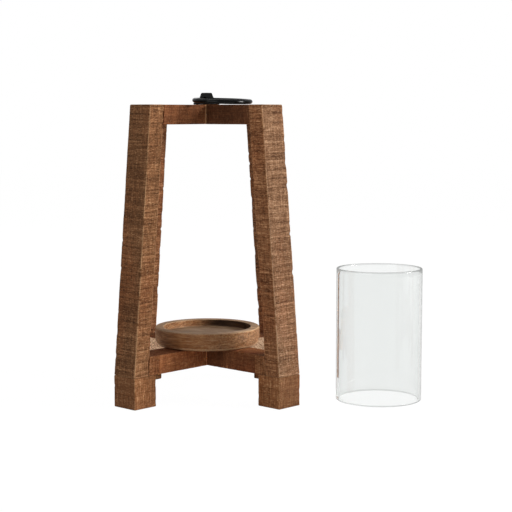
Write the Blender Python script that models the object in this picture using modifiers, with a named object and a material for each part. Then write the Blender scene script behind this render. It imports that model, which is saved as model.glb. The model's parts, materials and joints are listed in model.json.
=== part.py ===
"""Four-legged wooden candle lantern with a turned tray, a ring handle and a glass sleeve.

Metres, +Z up. The origin is the middle of the tray's recess floor, where the candle stands.
The four legs stand on the diagonals of the XY plane. The glass sleeve stands beside the lantern.
"""
import bpy
import bmesh
import math
from mathutils import Vector

# ---- driving dimensions; heights are measured from the table ----------------------------------
GAP = 0.0003                 # clearance between touching pieces
HEIGHT = 0.344               # top of the wooden frame
LEG_WIDTH = 0.035            # legs, feet and corner blocks, across their diagonal
FOOT_OUT = 0.133             # outer face of a foot, from the lantern's axis
FOOT_IN = 0.100              # inner face of a foot
FOOT_HEIGHT = 0.0365
POST_DEPTH = 0.0215          # leg section, measured level
POST_TOP_OUT = 0.1055        # outer face of a leg at the very top
BLOCK_IN = 0.0945            # inner end of a corner block
BOTTOM_RAIL_HEIGHT = 0.022
BOTTOM_RAIL_WIDTH = 0.0336
TOP_RAIL_HEIGHT = 0.0225
TOP_RAIL_WIDTH = 0.0344
WORN_EDGE = 0.0009           # softened arrises of the timber

TRAY_RADIUS = 0.0625
TRAY_FOOT_RADIUS = 0.0570    # where the rounded lower edge ends
TRAY_BOTTOM = FOOT_HEIGHT + BOTTOM_RAIL_HEIGHT + GAP
TRAY_RIM = 0.0802
RECESS_RADIUS = 0.0520
RECESS_DEPTH = 0.0082
SEAT = TRAY_RIM - RECESS_DEPTH

LUG_TURN = math.radians(-10.0)   # the lug sits a little askew on the top cross
LUG_LENGTH = 0.0284
LUG_TOP_LENGTH = 0.0175
LUG_THICKNESS = 0.0050
LUG_HEIGHT = 0.0138
PLATE_RADIUS = 0.0155          # round back plate under the eye
PLATE_THICKNESS = 0.0024
PLATE_EDGE = 0.0008
EYE_HEIGHT = 0.0059
EYE_RADIUS = 0.0034
PLATE_SCREW_OFFSET = 0.0112
PLATE_SCREW_TURN = math.radians(45.0)

RING_RADIUS = 0.0324         # centreline
RING_WIRE = 0.0026           # wire radius
RING_PIVOT_HEIGHT = 0.0058   # wire centre in the eye, above the wood
RING_DROOP = math.radians(2.52)   # the far side of the ring rests on the wood

GLASS_RADIUS = 0.050
GLASS_WALL = 0.0028
GLASS_HEIGHT = 0.155
GLASS_X = 0.2010
GLASS_Y = -0.0470

LEG_ANGLES = {"near_left": 225.0, "near_right": 315.0, "far_right": 45.0, "far_left": 135.0}

# ---- materials ----------------------------------------------------------------------------------
PALETTE = {
    "leg_wood": ((0.170, 0.083, 0.041, 1.0), 0.72, 0.0),
    "foot_wood": ((0.200, 0.107, 0.056, 1.0), 0.68, 0.0),
    "rail_wood": ((0.130, 0.064, 0.034, 1.0), 0.72, 0.0),
    "tray_wood": ((0.185, 0.118, 0.074, 1.0), 0.58, 0.0),
    "black_iron": ((0.012, 0.012, 0.013, 1.0), 0.42, 1.0),
    "steel": ((0.450, 0.440, 0.420, 1.0), 0.35, 1.0),
    "clear_glass": ((0.900, 0.930, 0.920, 1.0), 0.03, 0.0),
}


def clear_scene():
    for obj in list(bpy.data.objects):
        bpy.data.objects.remove(obj, do_unlink=True)


def new_collection(name):
    group = bpy.data.collections.new(name)
    bpy.context.scene.collection.children.link(group)
    return group


clear_scene()
PARTS = new_collection("candle_lantern")
CUTTERS = new_collection("cutters")


def material_for(name):
    """Colour, roughness and metalness of one of the lantern's materials."""
    if name in bpy.data.materials:
        return bpy.data.materials[name]
    colour, roughness, metallic = PALETTE[name]
    mat = bpy.data.materials.new(name)
    mat.use_nodes = True
    shader = mat.node_tree.nodes["Principled BSDF"]
    shader.inputs["Base Color"].default_value = colour
    shader.inputs["Roughness"].default_value = roughness
    shader.inputs["Metallic"].default_value = metallic
    if name == "clear_glass":
        shader.inputs["Transmission Weight"].default_value = 1.0
        shader.inputs["IOR"].default_value = 1.5
    return mat


def frame_empty(name, location, turn=0.0):
    """An empty that places the pieces parented to it."""
    empty = bpy.data.objects.new(name, None)
    empty.location = location
    empty.rotation_euler = (0.0, 0.0, turn)
    PARTS.objects.link(empty)
    return empty


def add_piece(name, mesh, material, parent=None, location=(0.0, 0.0, 0.0), rotation=(0.0, 0.0, 0.0)):
    """Link one sub-part, made of the given mesh."""
    obj = bpy.data.objects.new(name, mesh)
    obj.location = location
    obj.rotation_euler = rotation
    obj.parent = parent
    mesh.materials.clear()
    mesh.materials.append(material_for(material))
    PARTS.objects.link(obj)
    return obj


def outline_mesh(name, outline, width):
    """A board: a closed outline in (radial, height), sawn to the given width along Y."""
    curve = bpy.data.curves.new(name + "_outline", "CURVE")
    curve.dimensions = "2D"
    curve.fill_mode = "BOTH"
    curve.extrude = width / 2.0
    for ring in outline:
        spline = curve.splines.new("POLY")
        spline.points.add(len(ring) - 1)
        for point, (u, v) in zip(spline.points, ring):
            point.co = (u, v, 0.0, 1.0)
        spline.use_cyclic_u = True
    flat = bpy.data.objects.new(name + "_flat", curve)
    flat.rotation_euler = (math.pi / 2.0, 0.0, 0.0)
    bpy.context.scene.collection.objects.link(flat)
    bpy.context.view_layer.update()
    graph = bpy.context.evaluated_depsgraph_get()
    mesh = bpy.data.meshes.new_from_object(flat.evaluated_get(graph))
    mesh.transform(flat.matrix_world)
    bpy.data.objects.remove(flat, do_unlink=True)
    bpy.data.curves.remove(curve)
    tidy_mesh(mesh)
    mesh.name = name
    return mesh


def tidy_mesh(mesh):
    """Weld the seams, merge flat faces and turn the faces outwards."""
    form = bmesh.new()
    form.from_mesh(mesh)
    bmesh.ops.remove_doubles(form, verts=form.verts, dist=0.00002)
    bmesh.ops.dissolve_limit(form, angle_limit=math.radians(0.5), verts=form.verts, edges=form.edges)
    bmesh.ops.recalc_face_normals(form, faces=form.faces)
    form.to_mesh(mesh)
    form.free()
    mesh.update()


def soften(obj, width=WORN_EDGE, segments=2, angle=30.0):
    bevel = obj.modifiers.new("worn_edges", "BEVEL")
    bevel.width = width
    bevel.segments = segments
    bevel.limit_method = "ANGLE"
    bevel.angle_limit = math.radians(angle)
    bevel.use_clamp_overlap = True
    return bevel


def box_mesh(name, size, centre):
    """A block of the given size, moved so that its middle lies at centre."""
    form = bmesh.new()
    bmesh.ops.create_cube(form, size=1.0)
    bmesh.ops.scale(form, vec=size, verts=form.verts)
    bmesh.ops.translate(form, vec=centre, verts=form.verts)
    mesh = bpy.data.meshes.new(name)
    form.to_mesh(mesh)
    form.free()
    return mesh


def disc_mesh(name, radius, thickness, steps):
    """A round plate standing on the XY plane."""
    form = bmesh.new()
    bmesh.ops.create_cone(form, cap_ends=True, segments=steps, radius1=radius, radius2=radius, depth=thickness)
    bmesh.ops.translate(form, vec=(0.0, 0.0, thickness / 2.0), verts=form.verts)
    mesh = bpy.data.meshes.new(name)
    form.to_mesh(mesh)
    form.free()
    return mesh


def turned_piece(name, profile, material, steps, parent=None, location=(0.0, 0.0, 0.0), closed=False):
    """A piece turned about its own Z axis from a profile of (radius, height) points."""
    mesh = bpy.data.meshes.new(name)
    verts = [(r, 0.0, z) for r, z in profile]
    edges = [(i, i + 1) for i in range(len(profile) - 1)]
    if closed:
        edges.append((len(profile) - 1, 0))
    mesh.from_pydata(verts, edges, [])
    obj = add_piece(name, mesh, material, parent, location)
    screw = obj.modifiers.new("turned", "SCREW")
    screw.steps = steps
    screw.render_steps = steps
    screw.use_merge_vertices = True
    screw.merge_threshold = 0.00001
    screw.use_smooth_shade = True
    return obj


def arc(centre, radius_r, radius_z, start, end, count):
    """Points on a quarter-round in the (radius, height) plane, angles in degrees."""
    points = []
    for i in range(count + 1):
        a = math.radians(start + (end - start) * i / count)
        points.append((centre[0] + radius_r * math.cos(a), centre[1] + radius_z * math.sin(a)))
    return points


def cutter_rod(name, radius, bottom, top, place, cone=None):
    """A round cutter for a hole, with an optional countersink at its lower end."""
    form = bmesh.new()
    spin = math.radians(7.5)
    bmesh.ops.create_cone(form, cap_ends=True, segments=24, radius1=radius, radius2=radius, depth=top - bottom)
    bmesh.ops.translate(form, vec=(0.0, 0.0, (top + bottom) / 2.0), verts=form.verts)
    mesh = bpy.data.meshes.new(name)
    form.to_mesh(mesh)
    form.free()
    rod = bpy.data.objects.new(name, mesh)
    rod.location = place
    rod.rotation_euler = (0.0, 0.0, spin)
    CUTTERS.objects.link(rod)
    rods = [rod]
    if cone is not None:
        form = bmesh.new()
        wide, narrow, low, high = cone
        bmesh.ops.create_cone(form, cap_ends=True, segments=24, radius1=wide, radius2=narrow, depth=high - low)
        bmesh.ops.translate(form, vec=(0.0, 0.0, (low + high) / 2.0), verts=form.verts)
        mesh = bpy.data.meshes.new(name + "_countersink")
        form.to_mesh(mesh)
        form.free()
        sink = bpy.data.objects.new(name + "_countersink", mesh)
        sink.location = place
        sink.rotation_euler = (0.0, 0.0, spin)
        CUTTERS.objects.link(sink)
        rods.append(sink)
    for obj in rods:
        obj.hide_render = True
        obj.display_type = "WIRE"
    return rods


def cut(obj, cutters):
    for tool in cutters:
        hole = obj.modifiers.new("hole_" + tool.name, "BOOLEAN")
        hole.operation = "DIFFERENCE"
        hole.solver = "EXACT"
        hole.object = tool


# ---- heights in the part's own frame --------------------------------------------------------------
TABLE = -SEAT
SPLAY = (FOOT_OUT - POST_TOP_OUT) / (HEIGHT - FOOT_HEIGHT)


def post_outer(height):
    """Distance of a leg's outer face from the axis at a height above the table."""
    return FOOT_OUT - SPLAY * (height - FOOT_HEIGHT)


def post_inner(height):
    return post_outer(height) - POST_DEPTH


lantern = frame_empty("lantern_frame", (0.0, 0.0, TABLE))

# ---- legs, feet and corner blocks -------------------------------------------------------------------
low = FOOT_HEIGHT + GAP
post_outline = [(post_outer(low), low), (post_outer(HEIGHT), HEIGHT)]
post_outline += [(post_inner(HEIGHT), HEIGHT), (post_inner(low), low)]
post_mesh = outline_mesh("leg_post", [post_outline], LEG_WIDTH)

foot_size = (FOOT_OUT - FOOT_IN, LEG_WIDTH, FOOT_HEIGHT)
foot_mesh = box_mesh("foot_block", foot_size, ((FOOT_OUT + FOOT_IN) / 2.0, 0.0, FOOT_HEIGHT / 2.0))

rail_top = FOOT_HEIGHT + BOTTOM_RAIL_HEIGHT
block_outline = [(post_inner(low) - GAP, low), (post_inner(rail_top) - GAP, rail_top)]
block_outline += [(BLOCK_IN, rail_top), (BLOCK_IN, low)]
block_mesh = outline_mesh("corner_block", [block_outline], LEG_WIDTH)

for corner, degrees in LEG_ANGLES.items():
    turn = (0.0, 0.0, math.radians(degrees))
    soften(add_piece("leg_post_" + corner, post_mesh, "leg_wood", lantern, rotation=turn))
    soften(add_piece("foot_" + corner, foot_mesh, "foot_wood", lantern, rotation=turn))
    soften(add_piece("corner_block_" + corner, block_mesh, "foot_wood", lantern, rotation=turn), 0.0007)

# ---- bottom cross: two boards half-lapped at the middle ------------------------------------------------
tray_screw_cut = cutter_rod("tray_screw_hole", 0.0024, FOOT_HEIGHT - 0.004, rail_top + 0.004, (0.0, 0.0, TABLE),
                            (0.0065, 0.0023, FOOT_HEIGHT - 0.0005, FOOT_HEIGHT + 0.0036))


def cross_board(name, half_length_low, half_length_high, bottom, top, width, lap_from_top):
    """A board in the (radial, height) plane with a half-lap notch at its middle."""
    middle = (bottom + top) / 2.0
    notch = width / 2.0 + GAP
    if lap_from_top:
        shelf = middle - GAP / 2.0
        ring = [(-half_length_low, bottom), (half_length_low, bottom), (half_length_high, top)]
        ring += [(notch, top), (notch, shelf), (-notch, shelf), (-notch, top), (-half_length_high, top)]
    else:
        shelf = middle + GAP / 2.0
        ring = [(-half_length_low, bottom), (-notch, bottom), (-notch, shelf), (notch, shelf)]
        ring += [(notch, bottom), (half_length_low, bottom), (half_length_high, top), (-half_length_high, top)]
    return outline_mesh(name, [ring], width)


reach = BLOCK_IN - GAP
lower = cross_board("bottom_rail_lower", reach, reach, FOOT_HEIGHT, rail_top, BOTTOM_RAIL_WIDTH, True)
upper = cross_board("bottom_rail_upper", reach, reach, FOOT_HEIGHT, rail_top, BOTTOM_RAIL_WIDTH, False)
rail_lower = add_piece("bottom_rail_lower", lower, "rail_wood", lantern, rotation=(0.0, 0.0, math.radians(45.0)))
rail_upper = add_piece("bottom_rail_upper", upper, "rail_wood", lantern, rotation=(0.0, 0.0, math.radians(135.0)))
soften(rail_lower, 0.0006)
soften(rail_upper, 0.0006)
cut(rail_lower, tray_screw_cut)
cut(rail_upper, tray_screw_cut[:1])

# ---- top cross: level with the tops of the legs ---------------------------------------------------------
top_low = HEIGHT - TOP_RAIL_HEIGHT
reach_low = post_inner(top_low) - GAP
reach_high = post_inner(HEIGHT) - GAP
lower = cross_board("top_rail_lower", reach_low, reach_high, top_low, HEIGHT, TOP_RAIL_WIDTH, True)
upper = cross_board("top_rail_upper", reach_low, reach_high, top_low, HEIGHT, TOP_RAIL_WIDTH, False)
top_lower = add_piece("top_rail_lower", lower, "rail_wood", lantern, rotation=(0.0, 0.0, math.radians(45.0)))
top_upper = add_piece("top_rail_upper", upper, "rail_wood", lantern, rotation=(0.0, 0.0, math.radians(135.0)))
soften(top_lower, 0.0007)
soften(top_upper, 0.0007)

# ---- turned tray ---------------------------------------------------------------------------------------
bore = 0.0024
bore_top = SEAT - 0.0045
tray_profile = [(0.0, SEAT)]
tray_profile += arc((RECESS_RADIUS - 0.0015, SEAT + 0.0015), 0.0015, 0.0015, -90.0, 0.0, 3)
tray_profile += arc((RECESS_RADIUS + 0.0009, TRAY_RIM - 0.0009), 0.0009, 0.0009, 180.0, 90.0, 3)
tray_profile += arc((TRAY_RADIUS - 0.0014, TRAY_RIM - 0.0014), 0.0014, 0.0014, 90.0, 0.0, 4)
round_r = TRAY_RADIUS - TRAY_FOOT_RADIUS
tray_profile += arc((TRAY_FOOT_RADIUS, TRAY_BOTTOM + 0.0100), round_r, 0.0100, 0.0, -80.0, 7)
tray_profile += [(TRAY_FOOT_RADIUS - 0.0008, TRAY_BOTTOM), (bore, TRAY_BOTTOM)]
tray_profile += [(bore, bore_top), (0.0, bore_top)]
tray = turned_piece("tray", tray_profile, "tray_wood", 96, lantern)

# ---- countersunk screw that holds the tray on the cross ----------------------------------------------------
head = FOOT_HEIGHT + 0.0004
tip = bore_top - 0.0006
screw_profile = [(0.0, tip), (0.0009, tip - 0.0010), (0.0020, tip - 0.0050), (0.0020, head + 0.0031)]
screw_profile += [(0.0048, head + 0.0004), (0.0048, head), (0.0017, head), (0.0010, head + 0.0016)]
screw_profile += [(0.0, head + 0.0018)]
turned_piece("tray_screw", screw_profile, "steel", 24, lantern)

# ---- ring lug on the top cross -------------------------------------------------------------------------
# The lug's own X axis is the way the ring lies; its own Y axis is the ring's hinge axis.
ring_turn = math.radians(-45.0) + LUG_TURN
lug_base = frame_empty("lug_base", (0.0, 0.0, TABLE + HEIGHT + GAP), ring_turn)


def lug_outline():
    """Upright eye seen along the hinge axis: a foot that narrows to a rounded top."""
    half = LUG_LENGTH / 2.0
    half_top = LUG_TOP_LENGTH / 2.0
    corner = 0.0032
    points = [(-half, PLATE_THICKNESS - 0.0008), (half, PLATE_THICKNESS - 0.0008)]
    points += [(half, PLATE_THICKNESS + 0.0012)]
    for i in range(7):
        a = math.radians(15.0 + 75.0 * i / 6)
        points.append((half_top - corner + corner * math.cos(a), LUG_HEIGHT - corner + corner * math.sin(a)))
    for i in range(7):
        a = math.radians(90.0 + 75.0 * i / 6)
        points.append((-half_top + corner + corner * math.cos(a), LUG_HEIGHT - corner + corner * math.sin(a)))
    points += [(-half, PLATE_THICKNESS + 0.0012)]
    return points


def circle_outline(centre, radius, count):
    points = []
    for i in range(count):
        a = 2.0 * math.pi * i / count
        points.append((centre[0] + radius * math.cos(a), centre[1] + radius * math.sin(a)))
    return points


eye_mesh = outline_mesh("lug_eye", [lug_outline(), circle_outline((0.0, EYE_HEIGHT), EYE_RADIUS, 28)], LUG_THICKNESS)
plate_mesh = disc_mesh("lug_plate", PLATE_RADIUS, PLATE_THICKNESS, 64)
ring_lug = add_piece("ring_lug", plate_mesh, "black_iron", lug_base)
eye = bpy.data.objects.new("lug_eye_shape", eye_mesh)
eye.parent = lug_base
CUTTERS.objects.link(eye)
eye.hide_render = True
eye.display_type = "WIRE"
soften(ring_lug, PLATE_EDGE, 3)
join = ring_lug.modifiers.new("eye", "BOOLEAN")
join.operation = "UNION"
join.solver = "EXACT"
join.object = eye

# Two small screws go through the plate into the upper board of the cross.
plate_screw_depth = 0.0085
shank = 0.0011
screw_spots = []
for side in (1.0, -1.0):
    turn = ring_turn + PLATE_SCREW_TURN
    offset = Vector((math.cos(turn), math.sin(turn), 0.0)) * PLATE_SCREW_OFFSET * side
    screw_spots.append((offset.x, offset.y, TABLE + HEIGHT + GAP))
for index, spot in enumerate(screw_spots):
    rod = cutter_rod("plate_screw_hole_%d" % (index + 1), shank + GAP, -plate_screw_depth - 0.0006, 0.004, spot)
    cut(ring_lug, rod)
    cut(top_upper, rod)


def pan_screw_profile():
    """Small round-headed wood screw: head on the plate, tapered point below."""
    under = PLATE_THICKNESS + GAP
    points = [(0.0, under + 0.0011), (0.0009, under + 0.00105), (0.0015, under + 0.0007), (0.0019, under + 0.0002)]
    points += [(0.0019, under), (shank, under), (shank, -plate_screw_depth + 0.0030)]
    points += [(0.0004, -plate_screw_depth + 0.0002), (0.0, -plate_screw_depth)]
    return points


for index, spot in enumerate(screw_spots):
    turned_piece("plate_screw_%d" % (index + 1), pan_screw_profile(), "black_iron", 20, None, spot)

# ---- ring handle ----------------------------------------------------------------------------------------
# The ring's origin is the wire centre inside the eye, on the hinge axis.
pivot = (0.0, 0.0, RING_PIVOT_HEIGHT - GAP)
bpy.ops.mesh.primitive_torus_add(major_radius=RING_RADIUS, minor_radius=RING_WIRE, major_segments=72,
                                 minor_segments=12)
torus = bpy.context.active_object
torus_mesh = torus.data
bpy.data.objects.remove(torus, do_unlink=True)
shift = bmesh.new()
shift.from_mesh(torus_mesh)
bmesh.ops.translate(shift, vec=(RING_RADIUS, 0.0, 0.0), verts=shift.verts)
shift.to_mesh(torus_mesh)
shift.free()
torus_mesh.name = "ring_handle"
add_piece("ring_handle", torus_mesh, "black_iron", lug_base, pivot, (0.0, RING_DROOP, 0.0))

# ---- glass sleeve: an open tube standing on the table ------------------------------------------------------
edge = 0.0009
outer = GLASS_RADIUS
inner = GLASS_RADIUS - GLASS_WALL
glass_profile = [(outer, GLASS_HEIGHT - edge), (outer, edge), (outer - edge * 0.3, edge * 0.3), (outer - edge, 0.0)]
glass_profile += [(inner + edge, 0.0), (inner + edge * 0.3, edge * 0.3), (inner, edge), (inner, GLASS_HEIGHT - edge)]
glass_profile += [(inner + edge * 0.3, GLASS_HEIGHT - edge * 0.3), (inner + edge, GLASS_HEIGHT)]
glass_profile += [(outer - edge, GLASS_HEIGHT), (outer - edge * 0.3, GLASS_HEIGHT - edge * 0.3)]
turned_piece("glass_sleeve", glass_profile, "clear_glass", 96, None, (GLASS_X, GLASS_Y, TABLE), closed=True)

# ---- shading of the round pieces ---------------------------------------------------------------------------
for piece in PARTS.objects:
    if piece.type == "MESH" and piece.name == "ring_handle":
        piece.data.shade_smooth()
        piece.data.set_sharp_from_angle(angle=math.radians(35.0))
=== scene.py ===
import json
import math

import bmesh
import bpy
import numpy as np
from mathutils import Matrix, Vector


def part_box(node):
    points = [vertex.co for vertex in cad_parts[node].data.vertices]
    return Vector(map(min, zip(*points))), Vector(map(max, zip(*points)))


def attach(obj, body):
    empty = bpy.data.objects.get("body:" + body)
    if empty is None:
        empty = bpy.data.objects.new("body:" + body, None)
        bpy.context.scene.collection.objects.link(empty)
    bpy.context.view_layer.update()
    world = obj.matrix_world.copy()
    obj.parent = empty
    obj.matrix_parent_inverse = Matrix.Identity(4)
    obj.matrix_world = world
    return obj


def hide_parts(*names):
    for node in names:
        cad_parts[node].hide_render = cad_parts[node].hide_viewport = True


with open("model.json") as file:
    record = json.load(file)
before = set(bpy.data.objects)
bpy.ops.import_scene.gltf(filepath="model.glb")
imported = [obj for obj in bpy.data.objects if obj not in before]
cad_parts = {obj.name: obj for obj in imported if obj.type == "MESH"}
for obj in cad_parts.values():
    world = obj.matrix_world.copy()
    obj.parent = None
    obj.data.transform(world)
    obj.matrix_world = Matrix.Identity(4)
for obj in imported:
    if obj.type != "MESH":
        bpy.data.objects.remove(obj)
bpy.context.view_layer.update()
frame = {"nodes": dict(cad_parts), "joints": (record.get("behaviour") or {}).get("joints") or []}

# ---- sizes of the CAD model, in metres. The origin is the middle of the tray's recess floor ----------
TABLE = -0.0720
HEIGHT = 0.344
FOOT_OUT = 0.133
FOOT_IN = 0.100
FOOT_HEIGHT = 0.0365
LEG_WIDTH = 0.035
POST_DEPTH = 0.0215
POST_TOP_OUT = 0.1055
BLOCK_IN = 0.0945
BOTTOM_RAIL_HEIGHT = 0.022
BOTTOM_RAIL_WIDTH = 0.0336
TOP_RAIL_HEIGHT = 0.0225
TOP_RAIL_WIDTH = 0.0344
GAP = 0.0003                    # between glued pieces
SPLAY = (FOOT_OUT - POST_TOP_OUT) / (HEIGHT - FOOT_HEIGHT)
LEGS = {"near_left": 225.0, "near_right": 315.0, "far_right": 45.0, "far_left": 135.0}


# ---- repeatable noise ------------------------------------------------------------------------------
def lattice(ix, iy, iz, seed):
    """A fixed pseudo-random number from 0 to 1 at each lattice point."""
    h = (ix * 374761393 + iy * 668265263 + iz * 2147483647 + seed * 1274126177) & 0xFFFFFFFF
    h = ((h ^ (h >> 13)) * 1274126177) & 0xFFFFFFFF
    h = ((h ^ (h >> 16)) * 2246822519) & 0xFFFFFFFF
    return ((h ^ (h >> 15)) & 0xFFFFFF) / float(0xFFFFFF)


def noise(x, y, z, seed):
    """Smooth value noise from 0 to 1."""
    x, y, z = np.broadcast_arrays(np.asarray(x, float), np.asarray(y, float), np.asarray(z, float))
    fx, fy, fz = np.floor(x), np.floor(y), np.floor(z)
    ix, iy, iz = fx.astype(np.int64), fy.astype(np.int64), fz.astype(np.int64)
    tx, ty, tz = x - fx, y - fy, z - fz
    tx, ty, tz = (t * t * (3.0 - 2.0 * t) for t in (tx, ty, tz))
    total = np.zeros(x.shape)
    for dx in (0, 1):
        for dy in (0, 1):
            for dz in (0, 1):
                weight = (tx if dx else 1 - tx) * (ty if dy else 1 - ty) * (tz if dz else 1 - tz)
                total += weight * lattice(ix + dx, iy + dy, iz + dz, seed)
    return total


def fractal(x, y, z, seed, octaves=3):
    """Noise from 0 to 1 with finer and weaker noise added on it."""
    total, size, span = 0.0, 1.0, 0.0
    for k in range(octaves):
        total = total + size * noise(x * 2 ** k, y * 2 ** k, z * 2 ** k, seed + 17 * k)
        span += size
        size *= 0.5
    return total / span


# ---- timber meshes -----------------------------------------------------------------------------------
def section(n_a, n_b, n_r):
    """Points round a rounded rectangle: (side a, side b, angle of the outward normal)."""
    sa, sb, angle = [], [], []
    corners = [(1, 1), (-1, 1), (-1, -1), (1, -1)]
    for k, (ca, cb) in enumerate(corners):
        steps = n_b if k % 2 == 0 else n_a
        previous = corners[k - 1]
        for i in range(1, steps):
            t = i / steps
            sa.append(previous[0] + (ca - previous[0]) * t)
            sb.append(previous[1] + (cb - previous[1]) * t)
            angle.append(k * 90.0)
        for i in range(n_r + 1):
            sa.append(ca)
            sb.append(cb)
            angle.append(k * 90.0 + 90.0 * i / n_r)
    return np.array(sa, float), np.array(sb, float), np.radians(np.array(angle))


CELL = 0.0017                   # spacing of points across a board
ARRIS_STEPS = 3                 # points round a quarter of an arris
CUT = 0.00003                   # spacing of the two loops that make a sharp step in a board
SWAY = 0.00022                  # slow unevenness of a sawn face
PROUD = 0.00012                 # how far any mark may stand proud of the CAD face
EDGE_BAND = 0.0022              # width of the rubbed band along an arris
END_BAND = 0.0014
STRIPE = 0.0009                 # half width of the pale line beside a crossing board
RAW_START = 0.048               # where a rail's raw end begins, from its middle
RAW_BLEND = 0.006
END_RINGS = (0.93, 0.72, 0.48, 0.24)    # loops on an end face, as shares of its outline
PLAIN_SHADE = [0.5, 0.0, 0.0, 0.5]      # middling relief, unworn, stained
UP = np.array([0.0, 0.0, 1.0])


def clamp(value):
    return np.clip(value, 0.0, 1.0)


def board_rows(length, row, end_round, notch):
    """Places of the loops along a board, closer at the rounded ends and doubled where a half-lap begins."""
    half = length / 2
    rows = np.linspace(-half + end_round, half - end_round, max(8, round(length / row)))
    ends = end_round * np.array([0.0, 0.12, 0.45])
    rows = np.concatenate([-half + ends, rows, half - ends[::-1]])
    if notch is not None:
        half_notch = notch[0]
        rows = rows[np.abs(np.abs(rows) - half_notch) > 0.0004]
        steps = [half_notch, -half_notch, half_notch + CUT, -half_notch - CUT]
        rows = np.sort(np.concatenate([rows, steps]))
    return rows


def arris_radius(c, sa, sb, wear, chips, seed):
    """Radius along each of the four arrises, with small chips, for every point of every loop."""
    corner = np.where(sa > 0, np.where(sb > 0, 0, 3), np.where(sb > 0, 1, 2))
    radius = np.zeros((len(c), len(sa)))
    for k in range(4):
        wave = fractal(c * 55.0, k * 3.7, 0.0, seed + 5, 3)
        chip = clamp((noise(c * 160.0, k * 5.1, 0.0, seed + 9) - 0.72) / 0.28) * chips
        radius = np.where(corner[None, :] == k, wear * (0.45 + 0.9 * wave + 1.1 * chip), radius)
    reach = np.minimum(np.abs(sa), np.abs(sb))[None, :]
    return radius * (0.35 + 0.65 * reach)


def saw_marks(across, c, face, pitch, seed):
    """Height of the saw marks, 0 to 1: a little slanted and bowed, and different on each face."""
    lean = (noise(face * 2.3, 0.5, 0.0, seed + 31) - 0.5) * 0.12
    warp = (fractal(across * 40.0, c * 20.0, face * 7.0, seed + 41, 2) - 0.5) * 0.0016
    count = (c + across * lean + warp) / pitch
    ridge = noise(count, across * 22.0, face * 11.0, seed + 51)
    fine = noise(count * 2.3, across * 45.0, face * 11.0, seed + 61)
    return clamp(0.62 * ridge + 0.38 * fine)


def end_points(rim, sign, seed):
    """Loops that shrink to the middle of an end face, a little uneven, and then the middle itself."""
    centre = rim.mean(0)
    loops = []
    for shrink in END_RINGS:
        loop = centre + (rim - centre) * shrink
        dent = fractal(loop[:, 0] * 320.0, loop[:, 1] * 320.0, sign, seed + 91, 2) - 0.5
        loop[:, 2] = rim[:, 2] + dent * SWAY
        loops.append(loop)
    return np.concatenate(loops + [centre[None, :]])


def board_mesh(name, loops, shade, place, seed):
    """Makes the object from loops of local points (rows, points, 3) and their shade (rows, points, 4)."""
    n_rows, n_loop = loops.shape[:2]
    index = np.arange(n_rows * n_loop).reshape(n_rows, n_loop)
    right = np.roll(index, -1, axis=1)
    faces = np.stack([index[:-1], right[:-1], right[1:], index[1:]], -1).reshape(-1, 4).tolist()
    points = [loops.reshape(-1, 3)]
    shades = [shade.reshape(-1, 4)]
    first = n_rows * n_loop
    for previous, sign in ((index[0], -1), (index[-1], 1)):
        added = end_points(points[0][previous], float(sign), seed)
        for k in range(len(END_RINGS)):
            loop = first + k * n_loop + np.arange(n_loop)
            quads = np.stack([previous, np.roll(previous, -1), np.roll(loop, -1), loop], -1)
            faces += quads[:, ::sign].tolist()
            previous = loop
        middle = np.full(n_loop, first + len(added) - 1)
        fan = np.stack([previous, np.roll(previous, -1), middle], -1)
        faces += fan[:, ::sign].tolist()
        points.append(added)
        shades.append(np.tile(PLAIN_SHADE, (len(added), 1)))
        first += len(added)

    local = np.concatenate(points)
    mesh = bpy.data.meshes.new(name)
    mesh.from_pydata(place(local[:, 0], local[:, 1], local[:, 2]).tolist(), [], faces)
    grain = mesh.attributes.new("grain", "FLOAT_VECTOR", "POINT")
    shifted = local + np.array([seed * 0.37 % 3.1, seed * 0.71 % 2.3, seed * 0.13 % 1.7])
    grain.data.foreach_set("vector", shifted.ravel())
    relief = mesh.attributes.new("relief", "FLOAT_COLOR", "POINT")
    relief.data.foreach_set("color", np.concatenate(shades).ravel())
    mesh.validate()
    mesh.update()
    mesh.shade_smooth()
    mesh.set_sharp_from_angle(angle=math.radians(50.0))
    obj = bpy.data.objects.new(name, mesh)
    bpy.context.scene.collection.objects.link(obj)
    return obj


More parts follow.
